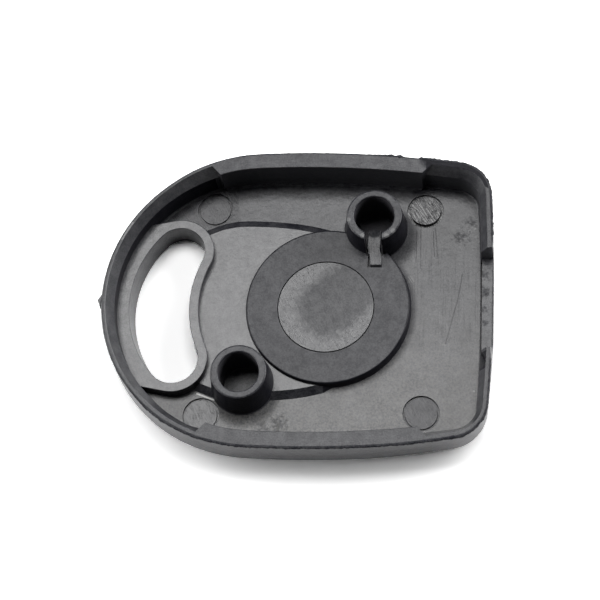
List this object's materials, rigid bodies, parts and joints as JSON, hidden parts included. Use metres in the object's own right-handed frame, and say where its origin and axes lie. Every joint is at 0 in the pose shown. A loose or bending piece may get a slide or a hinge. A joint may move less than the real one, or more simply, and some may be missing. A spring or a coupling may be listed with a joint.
{
  "type": "car key shell cover",
  "caption": "Open tray-shaped cover half of a car key head, with a kidney keyring slot, pin bosses, a blade opening and a plain round emblem.",
  "frame": {"origin": "centre of the cover's bounding box on the plane of its outer face, where it rests", "axes": "+X towards the end that the blade leaves, -X the rounded keyring end; +Z towards the open side; +Y to the slotted boss's side"},
  "size_m": [0.0402, 0.0326, 0.0055],
  "materials": {
    "black_satin_plastic": "satin, fine moulded texture, light handling scratches",
    "emblem_plastic": "satin, faintly mottled",
    "adhesive_foam": "dull bonding foam, hidden under the emblem"
  },
  "bodies": {
    "root": {"cover_shell": "black_satin_plastic", "emblem_blank": "emblem_plastic", "emblem_adhesive_ring": "adhesive_foam"}
  },
  "joints": []
}
